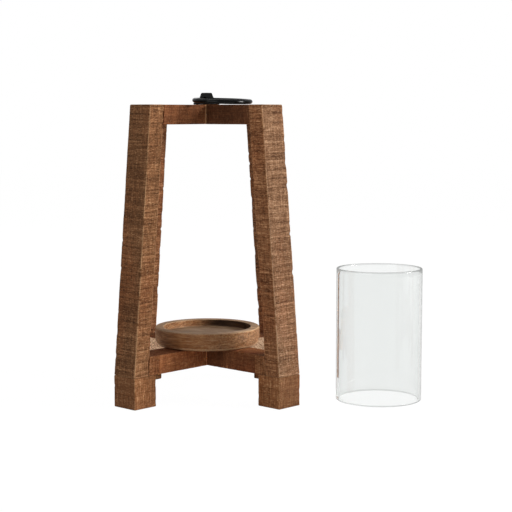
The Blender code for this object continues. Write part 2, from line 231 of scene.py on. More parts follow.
def timber(name, size, place, seed, marks, wear, pitch=0.0029, chips=1.0, notch=None, row=0.0008,
           end_round=0.0008, stripe=0.0, pale=0, outer=1.0, inner=1.0, sides=1.0, rub=1.0, fade=0.0,
           raw_stain=1.0):
    """A board with sawn faces and worn arrises.

    size is (a, b, c), c along the grain. place maps local points to the world.
    marks is the depth of the saw marks, pitch their spacing and row the spacing of points.
    wear is the radius of the arrises, chips how deep their chips are, end_round the radius at the ends.
    notch is (half length, from_top), for the half-lap at the middle of the board.
    outer, inner and sides make the +a, -a and +-b faces lighter or darker: painted light and shade, set
    face by face.
    fade makes the board darker towards its foot, and rub is how far the colour is rubbed off the arrises.
    stripe is a pale line beside the crossing board, in the worn colour: its sign picks the side.
    pale (1 or -1) is the side left raw at the far end, and raw_stain how light that is.
    """
    half_a, half_b, half_c = size[0] / 2, size[1] / 2, size[2] / 2
    sa, sb, angle = section(max(6, round(size[0] / CELL)), max(6, round(size[1] / CELL)), ARRIS_STEPS)
    na, nb = np.cos(angle), np.sin(angle)
    c = board_rows(size[2], row, end_round, notch)[:, None]
    near_end = np.clip(half_c - np.abs(c), 0.0, end_round)
    inset = end_round - np.sqrt(np.maximum(end_round ** 2 - (end_round - near_end) ** 2, 0.0))

    b_low, b_high = np.full(c.shape, -half_b), np.full(c.shape, half_b)
    if notch is not None:
        half_notch, from_top = notch
        inside = np.abs(c) <= half_notch + CUT / 2
        if from_top:
            b_high = np.where(inside, -GAP / 2, b_high)
        else:
            b_low = np.where(inside, GAP / 2, b_low)
    mid_b, half = (b_low + b_high) / 2, (b_high - b_low) / 2

    radius = arris_radius(c, sa, sb, wear, chips, seed)
    radius = np.minimum(radius, np.minimum(half * 0.6, half_a * 0.6))
    a = sa[None, :] * (half_a - radius) + na[None, :] * radius
    b = sb[None, :] * (half - radius) + nb[None, :] * radius

    face = np.round(angle / (math.pi / 2)).astype(int)[None, :] % 4
    across = np.where(face % 2 == 0, b + mid_b, a)
    relief = saw_marks(across, c, face, pitch, seed)
    patch = np.clip(fractal(across * 38.0, c * 16.0, face * 5.0, seed + 71, 2) * 1.7 - 0.25, 0.15, 1.0)
    low = fractal(across * 20.0, c * 9.0, face * 3.0, seed + 81, 2) - 0.5
    push = np.minimum((relief - 0.55) * 2.0 * marks * patch + low * 2.0 * SWAY, PROUD)
    a = a + na[None, :] * (push - inset)
    b = b + nb[None, :] * (push - inset) + mid_b

    arris = clamp(1.0 - (half_a - np.abs(a)) / EDGE_BAND)
    arris = arris * clamp(1.0 - np.minimum(b - b_low, b_high - b) / EDGE_BAND)
    end = clamp(1.0 - (half_c - np.abs(c)) / END_BAND) + 0.0 * a
    worn = np.maximum(arris, end * 0.8) * rub
    if stripe:
        at = -np.sign(stripe) * (notch[0] + STRIPE)
        line = clamp(1.8 - np.abs(c - at) / STRIPE) * (np.sign(stripe) * a > half_a - 0.0006)
        worn = np.maximum(worn, line * abs(stripe))
    raw = np.zeros(a.shape)
    if pale:
        raw = clamp((c - RAW_START) / RAW_BLEND) * (pale * a > half_a - 0.0008)

    # Each face is made lighter or darker by its multiplier: painted light and shade. Raw ends take
    # raw_stain instead.
    tone_and_painted_light = np.where(face == 0, outer, np.where(face == 2, inner, sides)) + 0.0 * a
    tone_and_painted_light = tone_and_painted_light * (1.0 - fade * clamp(0.5 - c / size[2]))
    tone_and_painted_light = tone_and_painted_light * (1.0 - raw) + raw_stain * raw
    loops = np.stack([a, b, c + 0.0 * a], -1)
    return board_mesh(name, loops, np.stack([relief, worn, raw, tone_and_painted_light * 0.5], -1), place, seed)


def diagonal(degrees):
    """The directions outwards and sideways at an angle from +X."""
    turn = math.radians(degrees)
    out = np.array([math.cos(turn), math.sin(turn), 0.0])
    side = np.array([-math.sin(turn), math.cos(turn), 0.0])
    return out, side


def upright(degrees, radial_at, middle):
    """Maps a standing board: a is radial, b is tangential, c is height."""
    out, side = diagonal(degrees)

    def place(a, b, c):
        z = middle + c
        r = radial_at(z - TABLE, a) + a
        return r[:, None] * out + b[:, None] * side + z[:, None] * UP

    return place


def level(degrees, middle, slope=0.0, length=1.0):
    """Maps a lying board: c is radial, a is tangential, b is height. slope slants its ends."""
    out, side = diagonal(degrees)

    def place(a, b, c):
        stretch = c * (1.0 - slope * b / (length / 2.0))
        return stretch[:, None] * out + a[:, None] * -side + (b + middle)[:, None] * UP

    return place


def post_outer(height):
    """Radius of a post's outer face at a height above the table."""
    return FOOT_OUT - SPLAY * (height - FOOT_HEIGHT)


# ---- materials ---------------------------------------------------------------------------
class Nodes:
    """Short calls for building a node tree."""

    def __init__(self, name):
        self.mat = bpy.data.materials.new(name)
        self.mat.use_nodes = True
        self.tree = self.mat.node_tree
        self.shader = self.tree.nodes["Principled BSDF"]
        self.output = self.tree.nodes["Material Output"]

    def add(self, kind, **values):
        node = self.tree.nodes.new(kind)
        for key, value in values.items():
            setattr(node, key, value)
        return node

    def link(self, a, b):
        self.tree.links.new(a, b)

    def put(self, socket, value):
        if hasattr(value, "node"):
            self.link(value, socket)
        else:
            socket.default_value = value

    def attribute(self, name, output):
        return self.add("ShaderNodeAttribute", attribute_name=name).outputs[output]

    def scaled(self, vector, scale):
        node = self.add("ShaderNodeVectorMath", operation="MULTIPLY")
        self.link(vector, node.inputs[0])
        node.inputs[1].default_value = scale
        return node.outputs[0]

    def noise(self, vector, scale, detail=2.0, rough=0.5, distortion=0.0):
        node = self.add("ShaderNodeTexNoise")
        self.link(self.scaled(vector, scale), node.inputs["Vector"])
        node.inputs["Scale"].default_value = 1.0
        node.inputs["Detail"].default_value = detail
        node.inputs["Roughness"].default_value = rough
        node.inputs["Distortion"].default_value = distortion
        return node.outputs["Fac"]

    def math(self, operation, a, b=0.0, c=0.0, clamp=False):
        node = self.add("ShaderNodeMath", operation=operation, use_clamp=clamp)
        self.put(node.inputs[0], a)
        self.put(node.inputs[1], b)
        if operation == "MULTIPLY_ADD":
            self.put(node.inputs[2], c)
        return node.outputs[0]

    def range(self, value, low, high, to_low=0.0, to_high=1.0):
        node = self.add("ShaderNodeMapRange")
        self.put(node.inputs["Value"], value)
        node.inputs["From Min"].default_value = low
        node.inputs["From Max"].default_value = high
        node.inputs["To Min"].default_value = to_low
        node.inputs["To Max"].default_value = to_high
        return node.outputs[0]

    def mix(self, factor, a, b, blend="MIX"):
        node = self.add("ShaderNodeMix", data_type="RGBA", blend_type=blend)
        self.put(node.inputs[0], factor)
        self.put(node.inputs[6], a)
        self.put(node.inputs[7], b)
        return node.outputs[2]

    def ramp(self, value, stops):
        node = self.add("ShaderNodeValToRGB")
        self.put(node.inputs[0], value)
        elements = node.color_ramp.elements
        while len(elements) < len(stops):
            elements.new(0.5)
        for element, (position, colour) in zip(elements, stops):
            element.position = position
            element.color = colour
        return node.outputs[0]

    def bump(self, height, strength, distance, normal=None):
        node = self.add("ShaderNodeBump")
        node.inputs["Strength"].default_value = strength
        node.inputs["Distance"].default_value = distance
        self.link(height, node.inputs["Height"])
        if normal is not None:
            self.link(normal, node.inputs["Normal"])
        return node.outputs["Normal"]


def rgb(r, g, b):
    """sRGB 0..255 to a linear colour."""
    out = []
    for v in (r, g, b):
        v /= 255.0
        out.append(v / 12.92 if v <= 0.04045 else ((v + 0.055) / 1.055) ** 2.4)
    return (out[0], out[1], out[2], 1.0)


def wood(name, dark, middle, light, worn, marks=1.0, fibres=1.0, spread=0.30, fleck=0.85, painted_bounce_tint=None):
    """Stained timber: saw marks across the grain, fibres along it, worn pale arrises.

    The point attribute relief holds the height of the saw marks, the wear, the raw part and half the tone
    multiplier, which carries the painted light and shade of each face.
    marks and fibres weigh the two patterns, a smaller spread gives more contrast.
    A warm tint goes on the faces whose tone multiplier is above the outer face's: painted warm bounce light
    on the shaded faces.
    """
    n = Nodes(name)
    grain = n.attribute("grain", "Vector")
    parts = n.add("ShaderNodeSeparateColor")
    n.link(n.attribute("relief", "Color"), parts.inputs[0])
    relief, wear, raw = parts.outputs[0], parts.outputs[1], parts.outputs[2]

    bands = n.noise(grain, (36.0, 36.0, 760.0), 2.0, 0.6, 0.05)
    fine = n.noise(grain, (210.0, 210.0, 1400.0), 2.0, 0.6)
    fibre = n.noise(grain, (900.0, 900.0, 60.0), 3.0, 0.6, 0.3)
    blotch = n.noise(grain, (42.0, 42.0, 15.0), 3.0, 0.6)
    speck = n.noise(grain, (620.0, 620.0, 760.0), 2.0, 0.6)

    tone = n.math("MULTIPLY_ADD", relief, 0.34 * marks, 0.17 * (1.0 - marks))
    tone = n.math("MULTIPLY_ADD", bands, 0.60 * marks, tone)
    tone = n.math("MULTIPLY_ADD", fine, 0.50 * marks, tone)
    tone = n.math("MULTIPLY_ADD", fibre, 0.70 * fibres, tone)
    tone = n.math("MULTIPLY_ADD", blotch, 0.30, tone)
    tone = n.math("MULTIPLY_ADD", speck, 0.40, tone)
    middle_value = 0.17 + 0.55 * marks + 0.35 * fibres + 0.15 + 0.20
    tone = n.range(tone, middle_value - spread, middle_value + spread)
    colour = n.ramp(tone, [(0.0, dark), (0.45, middle), (0.75, light), (1.0, worn)])

    warm = n.range(n.noise(grain, (22.0, 22.0, 8.0), 2.0), 0.45, 0.68)
    colour = n.mix(n.math("MULTIPLY", warm, 0.55), colour, (1.14, 0.84, 0.70, 1.0), "MULTIPLY")
    flecks = n.range(n.noise(grain, (260.0, 260.0, 1150.0), 1.0, 0.5), 0.58, 0.68)
    colour = n.mix(n.math("MULTIPLY", flecks, fleck * 0.5), colour, worn)
    pits = n.range(n.noise(grain, (280.0, 280.0, 1250.0), 1.0, 0.5), 0.57, 0.69)
    colour = n.mix(n.math("MULTIPLY", pits, fleck * 0.7), colour, dark)

    ragged = n.range(n.math("MULTIPLY_ADD", speck, 0.9, wear), 0.80, 1.25)
    colour = n.mix(n.math("MULTIPLY", ragged, 0.75), colour, worn)
    pale = n.mix(n.range(speck, 0.38, 0.62), rgb(140, 100, 72), rgb(238, 202, 168))
    colour = n.mix(n.math("MULTIPLY", raw, 0.85), colour, pale)
    tone_and_painted_light = n.math("MULTIPLY", n.attribute("relief", "Alpha"), 2.0)
    colour = n.mix(1.0, colour, tone_and_painted_light, "MULTIPLY")
    if painted_bounce_tint is not None:
        colour = n.mix(n.range(tone_and_painted_light, 1.04, 1.06), colour, painted_bounce_tint, "MULTIPLY")
    n.link(colour, n.shader.inputs["Base Color"])

    n.link(n.range(tone, 0.0, 1.0, 0.88, 0.68), n.shader.inputs["Roughness"])
    n.shader.inputs["Specular IOR Level"].default_value = 0.15
    height = n.math("MULTIPLY_ADD", fine, 0.7 * marks, n.math("MULTIPLY", fibre, 0.5 * fibres))
    height = n.math("MULTIPLY_ADD", speck, 0.35, height)
    n.link(n.bump(height, 0.8, 0.0009), n.shader.inputs["Normal"])
    return n.mat


LEG_WOOD = {
    "near_left": wood(
        "leg_wood_a", rgb(62, 35, 17), rgb(114, 76, 47), rgb(146, 101, 66), rgb(190, 146, 106)),
    # near_right gets a warm tint on its lightened faces: painted bounce light.
    "near_right": wood(
        "leg_wood_b", rgb(68, 41, 23), rgb(122, 86, 59), rgb(154, 115, 84), rgb(198, 160, 126),
        painted_bounce_tint=(0.945, 0.79, 0.655, 1.0)),
    "far_right": wood(
        "leg_wood_c", rgb(58, 34, 18), rgb(112, 74, 47), rgb(142, 99, 67), rgb(186, 144, 106)),
    "far_left": wood(
        "leg_wood_d", rgb(56, 31, 16), rgb(106, 66, 40), rgb(136, 91, 60), rgb(180, 136, 98)),
}
FOOT_WOOD = wood("foot_wood", rgb(72, 41, 20), rgb(120, 77, 46), rgb(146, 99, 64), rgb(188, 146, 106),
                 marks=0.55, fibres=1.1, spread=0.27, fleck=0.65)
RAIL_WOOD = wood("rail_wood", rgb(56, 29, 13), rgb(98, 57, 32), rgb(124, 77, 46), rgb(178, 132, 94),
                 marks=0.5, fibres=1.0, spread=0.34, fleck=0.45)

# Painted light and shade on the faces of each post and foot: each face is made lighter or darker, and fade
# makes it darker towards the foot.
POST_FACE_LIGHT = {
    "near_left": dict(outer=1.0, sides=1.14, inner=1.3, fade=0.03),
    "near_right": dict(outer=1.035, sides=1.26, inner=2.3, fade=0.15),
    "far_right": dict(outer=1.0, sides=1.35, inner=1.3),
    "far_left": dict(outer=1.0, sides=1.45, inner=1.3),
}
FOOT_FACE_LIGHT = {
    "near_left": dict(outer=0.90, sides=1.24),
    "near_right": dict(outer=0.78, sides=1.31),
    "far_right": dict(outer=0.90, sides=1.20),
    "far_left": dict(outer=0.90, sides=1.20),
}


def finish_piece(obj, body, nodes, material):
    obj.data.materials.clear()
    obj.data.materials.append(material)
    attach(obj, body)
    for node in nodes:
        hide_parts(node)


# ---- legs, feet and corner blocks --------------------------------------------------------
POST_LOW = FOOT_HEIGHT + GAP
BLOCK_HEIGHT = BOTTOM_RAIL_HEIGHT - GAP
BLOCK_MIDDLE = POST_LOW + BLOCK_HEIGHT / 2
BLOCK_DEPTH = (post_outer(BLOCK_MIDDLE) - POST_DEPTH - GAP) - BLOCK_IN


def post_radial(height, a):
    return post_outer(height) - POST_DEPTH / 2


def foot_radial(height, a):
    return (FOOT_OUT + FOOT_IN) / 2 + 0.0 * height


def block_radial(height, a):
    """The block's inner end is upright, and its outer end leans with the post."""
    return BLOCK_IN + BLOCK_DEPTH / 2 - SPLAY * (height - BLOCK_MIDDLE) * (a / BLOCK_DEPTH + 0.5)


def build_post(corner, degrees, seed):
    size = (POST_DEPTH, LEG_WIDTH, HEIGHT - POST_LOW)
    place = upright(degrees, post_radial, TABLE + (POST_LOW + HEIGHT) / 2)
    post = timber("post_" + corner, size, place, seed, marks=0.00024, pitch=0.0017, row=0.00065,
                  wear=0.0014, chips=1.6, **POST_FACE_LIGHT[corner])
    finish_piece(post, "lantern", ["leg_post_" + corner], LEG_WOOD[corner])


def build_foot(corner, degrees, seed):
    size = (FOOT_OUT - FOOT_IN, LEG_WIDTH, FOOT_HEIGHT)
    place = upright(degrees, foot_radial, TABLE + FOOT_HEIGHT / 2)
    foot = timber("foot_timber_" + corner, size, place, seed, marks=0.00005, wear=0.0010, end_round=0.0010,
                  rub=0.7, **FOOT_FACE_LIGHT[corner])
    finish_piece(foot, "lantern", ["foot_" + corner], FOOT_WOOD)


def build_block(corner, degrees, seed):
    size = (BLOCK_DEPTH, LEG_WIDTH, BLOCK_HEIGHT)
    place = upright(degrees, block_radial, TABLE + BLOCK_MIDDLE)
    block = timber("block_timber_" + corner, size, place, seed, marks=0.00006, wear=0.0008,
                   rub=0.5, sides=1.1)
    finish_piece(block, "lantern", ["corner_block_" + corner], FOOT_WOOD)


for number, (corner, degrees) in enumerate(LEGS.items()):
    build_post(corner, degrees, 101 + number)
    build_foot(corner, degrees, 131 + number)
    build_block(corner, degrees, 161 + number)

# ---- the two crosses ---------------------------------------------------------------------
BOTTOM_CROSS = dict(
    middle=TABLE + FOOT_HEIGHT + BOTTOM_RAIL_HEIGHT / 2, length=2 * (BLOCK_IN - GAP),
    width=BOTTOM_RAIL_WIDTH, height=BOTTOM_RAIL_HEIGHT, slope=0.0)
TOP_CROSS = dict(
    middle=TABLE + HEIGHT - TOP_RAIL_HEIGHT / 2,
    length=2 * (post_outer(HEIGHT - TOP_RAIL_HEIGHT / 2) - POST_DEPTH - GAP),
    width=TOP_RAIL_WIDTH, height=TOP_RAIL_HEIGHT, slope=SPLAY)


def build_rail(node, degrees, seed, cross, from_top, **looks):
    """One board of a cross. from_top says that its half-lap is cut from above."""
    size = (cross["width"], cross["height"], cross["length"])
    place = level(degrees, cross["middle"], cross["slope"], cross["length"])
    # sides=1.7 lightens the rail's top and underside: painted light where the tray's shadow falls.
    board = timber(node + "_timber", size, place, seed, marks=0.00010, wear=0.0007,
                   notch=(cross["width"] / 2 + GAP, from_top), sides=1.7, rub=0.45, **looks)
    finish_piece(board, "lantern", [node], RAIL_WOOD)


# outer and inner make each rail's long faces lighter or darker: painted light and shade.
build_rail("bottom_rail_lower", 45.0, 201, BOTTOM_CROSS, True, stripe=0.55, pale=1, outer=2.45, inner=1.03,
           raw_stain=0.62)
build_rail("bottom_rail_upper", 135.0, 202, BOTTOM_CROSS, False, pale=-1, inner=1.1, raw_stain=1.7)
build_rail("top_rail_lower", 45.0, 203, TOP_CROSS, True, stripe=1.0, outer=1.45)
build_rail("top_rail_upper", 135.0, 204, TOP_CROSS, False, inner=0.76)


# ---- turned pieces -----------------------------------------------------------------------
def lathe(name, profile, steps, shape, centre=(0.0, 0.0, 0.0), closed=False):
    """Turns a profile of (radius, height) about a vertical axis.

    shape may move the points and returns their shade. A profile may start and end on the axis or be closed.
    """
    angles = np.linspace(0.0, 2.0 * math.pi, steps, endpoint=False)
    radius = np.array([p[0] for p in profile])[:, None] + 0.0 * angles
    height = np.array([p[1] for p in profile])[:, None] + 0.0 * angles
    theta = angles[None, :] + 0.0 * radius
    radius, height, shade = shape(radius, height, theta)
    x = centre[0] + radius * np.cos(theta)
    y = centre[1] + radius * np.sin(theta)
    z = centre[2] + height
    rows = len(profile)
    index = np.arange(rows * steps).reshape(rows, steps)
    right = np.roll(index, -1, axis=1)
    starts_on_axis = profile[0][0] < 1e-7
    ends_on_axis = profile[-1][0] < 1e-7
    faces = []
    for i in range(rows if closed else rows - 1):
        j = (i + 1) % rows
        if starts_on_axis and i == 0:
            loops = [np.full(steps, index[0, 0]), index[j], right[j]]
        elif ends_on_axis and j == rows - 1:
            loops = [index[i], np.full(steps, index[j, 0]), right[i]]
        else:
            loops = [index[i], index[j], right[j], right[i]]
        faces += np.stack(loops, -1).tolist()
    mesh = bpy.data.meshes.new(name)
    mesh.from_pydata(np.stack([x, y, z], -1).reshape(-1, 3).tolist(), [], faces)
    relief = mesh.attributes.new("relief", "FLOAT_COLOR", "POINT")
    relief.data.foreach_set("color", shade.ravel())
    form = bmesh.new()
    form.from_mesh(mesh)
    loose = [v for v in form.verts if not v.link_faces]
    bmesh.ops.delete(form, geom=loose, context="VERTS")
    bmesh.ops.recalc_face_normals(form, faces=form.faces)
    form.to_mesh(mesh)
    form.free()
    mesh.shade_smooth()
    mesh.set_sharp_from_angle(angle=math.radians(50.0))
    obj = bpy.data.objects.new(name, mesh)
    bpy.context.scene.collection.objects.link(obj)
    return obj


def arc(centre, radius_r, radius_z, start, end, count):
    """Points of an elliptical arc in a profile, from start to end degrees."""
    points = []
    for i in range(count + 1):
        t = math.radians(start + (end - start) * i / count)
        points.append((centre[0] + radius_r * math.cos(t), centre[1] + radius_z * math.sin(t)))
    return points


def spread(points, step):
    """Adds points so that no stretch of the profile is longer than step."""
    out = [points[0]]
    for p, q in zip(points[:-1], points[1:]):
        count = max(1, math.ceil(math.dist(p, q) / step))
        for i in range(1, count + 1):
            t = i / count
            out.append((p[0] + (q[0] - p[0]) * t, p[1] + (q[1] - p[1]) * t))
    return out


TRAY_RADIUS = 0.0625
TRAY_FOOT = 0.0570              # radius of the underside
TRAY_LOW = TABLE + FOOT_HEIGHT + BOTTOM_RAIL_HEIGHT + GAP
FOOT_CURVE = 0.0100             # height of the curve from the underside to the wall
RECESS = 0.0520
RECESS_CURVE = 0.0015           # between the recess floor and its wall
RIM = 0.0082                    # height above the recess floor
RIM_INNER = 0.0009              # roundings of the rim
RIM_OUTER = 0.0014
SCREW_HOLE = 0.0024             # radius of the blind hole underneath
HOLE_TOP = -0.0045
END_GRAIN = math.radians(-38.0)     # the way the grain runs
TORN_DEPTH = 0.00035            # of the torn end grain
TURNED = 0.00007                # height of the turning marks on the wall
TURNED_TOP = 0.00005            # and on the level faces
OVAL = 0.0016                   # share by which the wood has shrunk out of round
# Recess floor darker: painted shade in the recess.
RECESS_FLOOR_SHADE = 0.80
# Rim top lighter: painted light.
RIM_TOP_LIGHT = 1.06


def tray_profile():
    points = [(0.0, 0.0), (0.004, 0.0)]
    points += arc((RECESS - RECESS_CURVE, RECESS_CURVE), RECESS_CURVE, RECESS_CURVE, -90, 0, 4)
    points += arc((RECESS + RIM_INNER, RIM - RIM_INNER), RIM_INNER, RIM_INNER, 180, 90, 4)
    points += arc((TRAY_RADIUS - RIM_OUTER, RIM - RIM_OUTER), RIM_OUTER, RIM_OUTER, 90, 0, 5)
    points += arc((TRAY_FOOT, TRAY_LOW + FOOT_CURVE), TRAY_RADIUS - TRAY_FOOT, FOOT_CURVE, 0, -80, 9)
    points += [(TRAY_FOOT - 0.0008, TRAY_LOW), (SCREW_HOLE, TRAY_LOW)]
    points += [(SCREW_HOLE, HOLE_TOP), (0.0, HOLE_TOP)]
    return spread(points, 0.0011)


def tray_shape(r, z, theta):
    """Turning marks, torn end grain, a slightly oval rim, and painted light and shade on the recess, the
    rim top and the outer wall.

    The shade it returns is how intact, how worn and how much end grain a point is, and half its tone
    multiplier, which holds the painted light and shade.
    """
    grain_side = np.abs(np.cos(theta - END_GRAIN)) ** 3
    x, y = r * np.cos(theta), r * np.sin(theta)
    turning = noise(r * 900.0, z * 900.0, 0.0, 301) - 0.5
    torn = fractal(x * 260.0, y * 260.0, z * 330.0, 311, 3)
    wall = np.clip((r - RECESS - 0.004) / 0.004, 0.0, 1.0) * np.clip((0.0066 - z) / 0.002, 0.0, 1.0)
    rough = np.clip((torn - 0.52) * 3.0, 0.0, 1.0) * grain_side * wall
    out = r - TORN_DEPTH * rough + TURNED * turning * (r > 0.003)
    up = z + TURNED_TOP * turning * (z > -0.004) * (r > 0.003)
    oval = 1.0 + OVAL * np.cos(2.0 * (theta - END_GRAIN))
    out = np.where(r > 0.054, out * oval, out)
    edge_a = np.clip(1.0 - np.hypot(r - TRAY_RADIUS, z - RIM) / 0.0022, 0.0, 1.0)
    edge_b = np.clip(1.0 - np.hypot(r - RECESS, z - RIM) / 0.0016, 0.0, 1.0)
    edge_c = np.clip(1.0 - np.hypot(r - TRAY_FOOT - 0.0034, z - TRAY_LOW - 0.0022) / 0.0026, 0.0, 1.0) * 0.8
    worn = np.maximum(np.maximum(edge_a, edge_b), edge_c)
    # The recess wall is lighter at the left and darker at the back right: painted light and shade.
    bowl = np.clip((0.0012 - np.abs(r - RECESS)) / 0.0004, 0.0, 1.0) * (z > 0.0004) * (z < RIM - 0.0002)
    painted_wall_light = np.clip((np.cos(theta - math.radians(185.0)) + 0.25) / 0.6, 0.0, 1.0)
    painted_wall_light = painted_wall_light * painted_wall_light * (3.0 - 2.0 * painted_wall_light)
    tone_and_painted_light = 1.0 - bowl + bowl * (0.20 + 1.04 * painted_wall_light)
    # Painted shade: the recess floor is darker.
    tone_and_painted_light = np.where((r < RECESS - 0.0006) & (z > -0.001) & (z < 0.0012), RECESS_FLOOR_SHADE, tone_and_painted_light)
    # Painted light: the rim top is lighter.
    tone_and_painted_light = np.where((z > RIM - 0.0004) & (r > RECESS), RIM_TOP_LIGHT, tone_and_painted_light)
    # The left of the outer wall is up to 30% lighter: painted light.
    left = np.clip(np.cos(theta - math.radians(200.0)), 0.0, 1.0) * np.clip((r - 0.058) / 0.003, 0.0, 1.0)
    tone_and_painted_light = tone_and_painted_light * (1.0 + 0.30 * left * (z < RIM - 0.001))
    return out, up, np.stack([1.0 - rough, worn, grain_side, tone_and_painted_light * 0.5], -1)


def tray_material():
    n = Nodes("turned_tray_wood")
    geo = n.add("ShaderNodeNewGeometry")
    coordinates = n.add("ShaderNodeTexCoord").outputs["Object"]
    turn = n.add("ShaderNodeMapping")
    turn.inputs["Rotation"].default_value = (0.0, 0.0, -END_GRAIN)
    n.link(coordinates, turn.inputs["Vector"])
    place = turn.outputs[0]
    parts = n.add("ShaderNodeSeparateColor")
    n.link(n.attribute("relief", "Color"), parts.inputs[0])
    intact, wear, ends = parts.outputs[0], parts.outputs[1], parts.outputs[2]

    fibre = n.noise(place, (24.0, 700.0, 700.0), 3.0, 0.55, 0.25)
    figure = n.noise(place, (9.0, 150.0, 150.0), 2.0, 0.5, 0.8)
    blotch = n.noise(place, (30.0, 46.0, 46.0), 3.0, 0.6)
    speck = n.noise(place, (480.0, 480.0, 480.0), 3.0, 0.65)
    tone = n.math("MULTIPLY", fibre, 0.5)
    tone = n.math("MULTIPLY_ADD", figure, 0.5, tone)
    tone = n.math("MULTIPLY_ADD", blotch, 0.6, tone)
    tone = n.range(tone, 0.58, 1.02)
    body = n.ramp(tone, [(0.0, rgb(92, 56, 29)), (0.5, rgb(134, 89, 53)), (1.0, rgb(168, 121, 80))])
    # Lighter, greyer colour on upward faces: painted sheen and top light.
    painted_top_sheen = n.ramp(tone, [(0.0, rgb(128, 97, 71)), (0.5, rgb(163, 130, 100)), (1.0, rgb(194, 161, 128))])
    normal = n.add("ShaderNodeSeparateXYZ")
    n.link(geo.outputs["Normal"], normal.inputs[0])
    upward = n.range(normal.outputs[2], 0.35, 0.9)
    colour = n.mix(upward, body, painted_top_sheen)

    rough = n.math("SUBTRACT", 1.0, intact)
    colour = n.mix(n.math("MULTIPLY", rough, 0.55), colour, rgb(66, 40, 24))
    torn = n.noise(place, (300.0, 300.0, 620.0), 2.0, 0.6)
    chipped = n.noise(place, (420.0, 420.0, 760.0), 1.0, 0.6)
    wall = n.math("MULTIPLY", ends, n.math("SUBTRACT", 1.0, upward))
    pale = n.math("MULTIPLY", n.range(torn, 0.50, 0.60), wall)
    colour = n.mix(n.math("MULTIPLY", pale, 0.55), colour, rgb(180, 136, 98))
    pits = n.math("MULTIPLY", n.range(chipped, 0.54, 0.64), wall)
    colour = n.mix(n.math("MULTIPLY", pits, 0.70), colour, rgb(62, 38, 22))
    streaks = n.range(n.noise(coordinates, (60.0, 60.0, 900.0), 2.0, 0.6), 0.52, 0.66)
    streaks = n.math("MULTIPLY", streaks, n.math("SUBTRACT", 1.0, upward))
    colour = n.mix(n.math("MULTIPLY", streaks, 0.35), colour, rgb(190, 152, 116))
    ragged = n.range(n.math("MULTIPLY_ADD", speck, 0.9, wear), 0.75, 1.25)
    colour = n.mix(n.math("MULTIPLY", ragged, 0.65), colour, rgb(192, 158, 124))
    # The relief alpha multiplies in the painted light and shade from tray_shape.
    colour = n.mix(1.0, colour, n.math("MULTIPLY", n.attribute("relief", "Alpha"), 2.0), "MULTIPLY")
    n.link(colour, n.shader.inputs["Base Color"])
    n.link(n.range(tone, 0.0, 1.0, 0.66, 0.48), n.shader.inputs["Roughness"])
    n.shader.inputs["Specular IOR Level"].default_value = 0.18
    height = n.math("MULTIPLY_ADD", speck, 0.35, n.math("MULTIPLY", fibre, 0.5))
    n.link(n.bump(height, 0.35, 0.0005), n.shader.inputs["Normal"])
    return n.mat


tray = lathe("turned_tray", tray_profile(), 260, shape=tray_shape)
finish_piece(tray, "lantern", ["tray"], tray_material())


# ---- black iron: lug, ring and screws ----------------------------------------------------
def iron_material():
    n = Nodes("black_iron_finish")
    coordinates = n.add("ShaderNodeTexCoord").outputs["Object"]
    patchy = n.noise(coordinates, (90.0, 90.0, 90.0), 3.0, 0.6)
    grit = n.noise(coordinates, (1400.0, 1400.0, 1400.0), 2.0, 0.6)
    colour = n.ramp(patchy, [(0.3, rgb(6, 6, 6)), (0.6, rgb(11, 11, 10)), (0.8, rgb(20, 19, 17))])
    n.link(colour, n.shader.inputs["Base Color"])
    n.shader.inputs["Metallic"].default_value = 0.0
    n.shader.inputs["Specular IOR Level"].default_value = 0.22
    n.link(n.range(patchy, 0.3, 0.7, 0.10, 0.22), n.shader.inputs["Roughness"])
    n.link(n.bump(n.math("MULTIPLY_ADD", grit, 0.3, patchy), 0.3, 0.0004), n.shader.inputs["Normal"])
    return n.mat


IRON = iron_material()
swing = [j for j in frame["joints"] if j["name"] == "ring_swing"][0]
pivot = Vector(swing["pos_m"])
hinge = Vector(swing["axis"]).normalized()
ring_low, ring_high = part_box("ring_handle")
ring_centre = (Vector(ring_low) + Vector(ring_high)) / 2
outward = ring_centre - pivot
RING_RADIUS = outward.length
outward.normalize()
lift = hinge.cross(outward).normalized()
RING_WIRE = 0.0026      # radius of the wire


def ring_mesh():
    """A forged ring: round wire, very slightly uneven."""
    around, across = 220, 28
    t = np.linspace(0.0, 2 * math.pi, around, endpoint=False)[:, None]
    p = np.linspace(0.0, 2 * math.pi, across, endpoint=False)[None, :]
    along, over = np.cos(t) * 3.4 + 0.0 * p, np.sin(t) * 3.4 + np.cos(p) * 1.1
    dents = fractal(along, over, np.sin(p) * 1.1, 401, 2) - 0.5
    wire = RING_WIRE * (1.0 + 0.05 * dents)
    r = RING_RADIUS + wire * np.cos(p)
    h = wire * np.sin(p)
    x, y = -r * np.cos(t), r * np.sin(t)
    o, w, u = np.array(outward), np.array(hinge), np.array(lift)
    world = np.array(ring_centre) + x[..., None] * o + y[..., None] * w + h[..., None] * u
    index = np.arange(around * across).reshape(around, across)
    b = np.roll(index, -1, axis=0)
    c = np.roll(b, -1, axis=1)
    d = np.roll(index, -1, axis=1)
    faces = np.stack([index, d, c, b], -1).reshape(-1, 4).tolist()
    mesh = bpy.data.meshes.new("forged_ring")
    mesh.from_pydata(world.reshape(-1, 3).tolist(), [], faces)
    mesh.shade_smooth()
    obj = bpy.data.objects.new("forged_ring", mesh)
    bpy.context.scene.collection.objects.link(obj)
    return obj


finish_piece(ring_mesh(), "ring", ["ring_handle"], IRON)
for node in ("ring_lug", "plate_screw_1", "plate_screw_2"):
    obj = frame["nodes"][node]
    for slot in obj.material_slots:
        slot.material = IRON


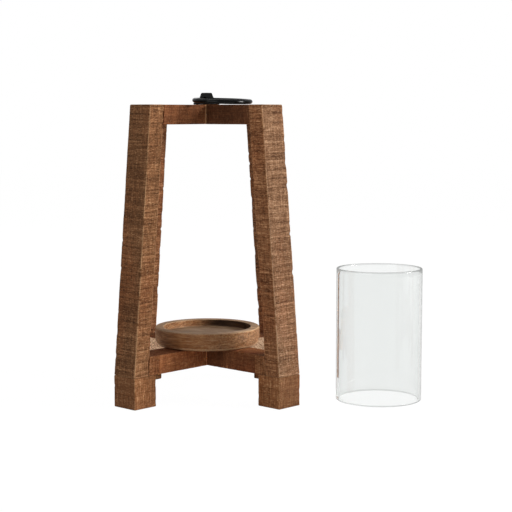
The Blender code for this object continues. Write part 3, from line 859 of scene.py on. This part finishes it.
def steel_material():
    n = Nodes("zinc_screw")
    coordinates = n.add("ShaderNodeTexCoord").outputs["Object"]
    patchy = n.noise(coordinates, (700.0, 700.0, 700.0), 2.0, 0.6)
    colour = n.ramp(patchy, [(0.3, rgb(150, 148, 142)), (0.7, rgb(186, 184, 178))])
    n.link(colour, n.shader.inputs["Base Color"])
    n.shader.inputs["Metallic"].default_value = 1.0
    n.link(n.range(patchy, 0.3, 0.7, 0.28, 0.42), n.shader.inputs["Roughness"])
    n.link(n.bump(patchy, 0.2, 0.0002), n.shader.inputs["Normal"])
    return n.mat


STEEL = steel_material()
for slot in frame["nodes"]["tray_screw"].material_slots:
    slot.material = STEEL

# ---- glass sleeve ------------------------------------------------------------------------
glass_low, glass_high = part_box("glass_sleeve")
glass_centre = ((glass_low[0] + glass_high[0]) / 2, (glass_low[1] + glass_high[1]) / 2, glass_low[2])
GLASS_OUTER = (glass_high[0] - glass_low[0]) / 2
GLASS_TALL = glass_high[2] - glass_low[2]
GLASS_WALL = 0.0028
RIPPLE = 0.00012                # unevenness of the wall


def sleeve_profile():
    """The wall of the sleeve, with half-round lips, as a closed outline."""
    inner = GLASS_OUTER - GLASS_WALL
    lip = GLASS_WALL / 2
    points = [(GLASS_OUTER, GLASS_TALL - lip), (GLASS_OUTER, lip)]
    points += arc((GLASS_OUTER - lip, lip), lip, lip, 0, -180, 8)[1:]
    points += [(inner, GLASS_TALL - lip)]
    points += arc((GLASS_OUTER - lip, GLASS_TALL - lip), lip, lip, 180, 0, 8)[1:-1]
    return spread(points + [points[0]], 0.006)[:-1]


def glass_shape(r, z, theta):
    ripple = noise(np.cos(theta) * 2.2, np.sin(theta) * 2.2, z * 14.0, 501) - 0.5
    return r + ripple * RIPPLE, z, np.zeros(r.shape + (4,))


def glass_material():
    n = Nodes("clear_sleeve_glass")
    coordinates = n.add("ShaderNodeTexCoord").outputs["Object"]
    streak = n.noise(coordinates, (30.0, 30.0, 6.0), 2.0, 0.5)
    s = n.shader
    height = n.add("ShaderNodeSeparateXYZ")
    n.link(coordinates, height.inputs[0])
    # The tint darkens towards the foot and at the lips: painted shade.
    foot = n.range(height.outputs[2], glass_low[2], glass_low[2] + 0.030, 0.985, 1.0)
    lips = n.math("MINIMUM", n.math("SUBTRACT", height.outputs[2], glass_low[2]),
                  n.math("SUBTRACT", glass_high[2], height.outputs[2]))
    lips = n.range(lips, 0.0008, 0.0022, 0.72, 1.0)
    tint = n.mix(streak, (0.902, 0.917, 0.910, 1.0), (0.927, 0.937, 0.932, 1.0))
    n.link(n.mix(1.0, tint, n.math("MULTIPLY", foot, lips), "MULTIPLY"), s.inputs["Base Color"])
    n.link(n.range(streak, 0.0, 1.0, 0.0, 0.02), s.inputs["Roughness"])
    s.inputs["IOR"].default_value = 1.42
    s.inputs["Transmission Weight"].default_value = 1.0
    n.link(n.bump(streak, 0.05, 0.0004), s.inputs["Normal"])
    path = n.add("ShaderNodeLightPath")
    clear = n.add("ShaderNodeBsdfTransparent")
    clear.inputs[0].default_value = (0.93, 0.94, 0.935, 1.0)
    mix = n.add("ShaderNodeMixShader")
    n.link(path.outputs["Is Shadow Ray"], mix.inputs[0])
    n.link(s.outputs[0], mix.inputs[1])
    n.link(clear.outputs[0], mix.inputs[2])
    # Past a few bounces the glass glows flat grey: painted light in place of further reflections.
    glow = n.add("ShaderNodeEmission")
    glow.inputs[0].default_value = (0.50, 0.51, 0.50, 1.0)
    deep = n.add("ShaderNodeMixShader")
    depth = n.math("SUBTRACT", path.outputs["Ray Depth"], 4.0)
    bounces = n.math("MAXIMUM", depth, path.outputs["Glossy Depth"])
    n.link(n.math("GREATER_THAN", bounces, 1.5), deep.inputs[0])
    n.link(mix.outputs[0], deep.inputs[1])
    n.link(glow.outputs[0], deep.inputs[2])
    n.link(deep.outputs[0], n.output.inputs["Surface"])
    return n.mat


glass = lathe("sleeve_glass", sleeve_profile(), 200, centre=glass_centre, shape=glass_shape, closed=True)
finish_piece(glass, "glass", ["glass_sleeve"], glass_material())

# ---- stage, light and camera -------------------------------------------------------------
def floor_material():
    """A white floor that looks white to the camera and through the glass, but lights the object less."""
    n = Nodes("floor_white")
    n.shader.inputs["Base Color"].default_value = (0.70, 0.70, 0.70, 1.0)
    n.shader.inputs["Roughness"].default_value = 0.8
    n.shader.inputs["Specular IOR Level"].default_value = 0.1
    path = n.add("ShaderNodeLightPath")
    bright = n.add("ShaderNodeEmission")
    pale = n.add("ShaderNodeBsdfDiffuse")
    pale.inputs["Color"].default_value = (0.04, 0.04, 0.04, 1.0)
    bright.inputs["Strength"].default_value = 0.985
    paper = n.add("ShaderNodeAddShader")
    n.link(bright.outputs[0], paper.inputs[0])
    n.link(pale.outputs[0], paper.inputs[1])
    seen = n.math("MAXIMUM", path.outputs["Is Camera Ray"], path.outputs["Is Transmission Ray"])
    shown = n.add("ShaderNodeMixShader")
    n.link(seen, shown.inputs[0])
    n.link(n.shader.outputs[0], shown.inputs[1])
    n.link(paper.outputs[0], shown.inputs[2])
    n.link(shown.outputs[0], n.output.inputs["Surface"])
    return n.mat


def build_floor():
    bpy.ops.mesh.primitive_plane_add(size=12.0, location=(0.0, 0.0, TABLE - 0.0002))
    floor = bpy.context.object
    floor.name = "floor"
    floor.data.materials.append(floor_material())


def build_world():
    """White to the camera and through the glass, dimmer as a light."""
    world = bpy.data.worlds.new("studio")
    bpy.context.scene.world = world
    world.use_nodes = True
    tree = world.node_tree
    background = tree.nodes["Background"]
    path = tree.nodes.new("ShaderNodeLightPath")
    seen = tree.nodes.new("ShaderNodeMath")
    seen.operation = "MAXIMUM"
    tree.links.new(path.outputs["Is Camera Ray"], seen.inputs[0])
    tree.links.new(path.outputs["Is Transmission Ray"], seen.inputs[1])
    strength = tree.nodes.new("ShaderNodeMapRange")
    strength.inputs["To Min"].default_value = 0.33
    strength.inputs["To Max"].default_value = 1.0
    tree.links.new(seen.outputs[0], strength.inputs["Value"])
    background.inputs["Color"].default_value = (1.0, 1.0, 1.0, 1.0)
    tree.links.new(strength.outputs[0], background.inputs["Strength"])


def area_light(name, azimuth, elevation, distance, size, power, colour=(1.0, 1.0, 1.0)):
    """azimuth in degrees from +X towards +Y; the light points at the object's middle."""
    a, e = math.radians(azimuth), math.radians(elevation)
    target = Vector((0.07, 0.0, 0.08))
    away = Vector((math.cos(a) * math.cos(e), math.sin(a) * math.cos(e), math.sin(e)))
    data = bpy.data.lights.new(name, "AREA")
    data.shape = "RECTANGLE"
    data.size, data.size_y = size
    data.energy = power
    data.color = colour
    lamp = bpy.data.objects.new(name, data)
    lamp.location = target + away * distance
    lamp.rotation_euler = (-away).to_track_quat("-Z", "Y").to_euler()
    bpy.context.scene.collection.objects.link(lamp)
    return lamp


build_floor()
build_world()
area_light("key", 347.0, 17.0, 1.9, (0.6, 1.0), 35.0, (1.0, 0.985, 0.965))
area_light("left_fill", 228.0, 20.0, 2.4, (1.6, 1.6), 11.5)
back = area_light("back_fill", 100.0, 30.0, 2.4, (1.4, 1.4), 2.6)
back.data.specular_factor = 0.0

FOCAL_MM = 97.234
YAW = math.radians(1.774)       # to the right of +Y
PITCH = math.radians(-5.952)    # below level
EYE = (0.00753, -1.64394, 0.335747 + TABLE)


def build_camera():
    data = bpy.data.cameras.new("camera")
    data.lens = FOCAL_MM
    data.sensor_width = 36.0
    data.clip_start = 0.05
    data.clip_end = 50.0
    camera = bpy.data.objects.new("camera", data)
    camera.location = EYE
    level = math.cos(PITCH)
    forward = Vector((math.sin(YAW) * level, math.cos(YAW) * level, math.sin(PITCH)))
    camera.rotation_euler = forward.to_track_quat("-Z", "Y").to_euler()
    bpy.context.scene.collection.objects.link(camera)
    bpy.context.scene.camera = camera


build_camera()
bpy.context.scene.view_settings.view_transform = "Standard"
bpy.context.scene.view_settings.look = "None"
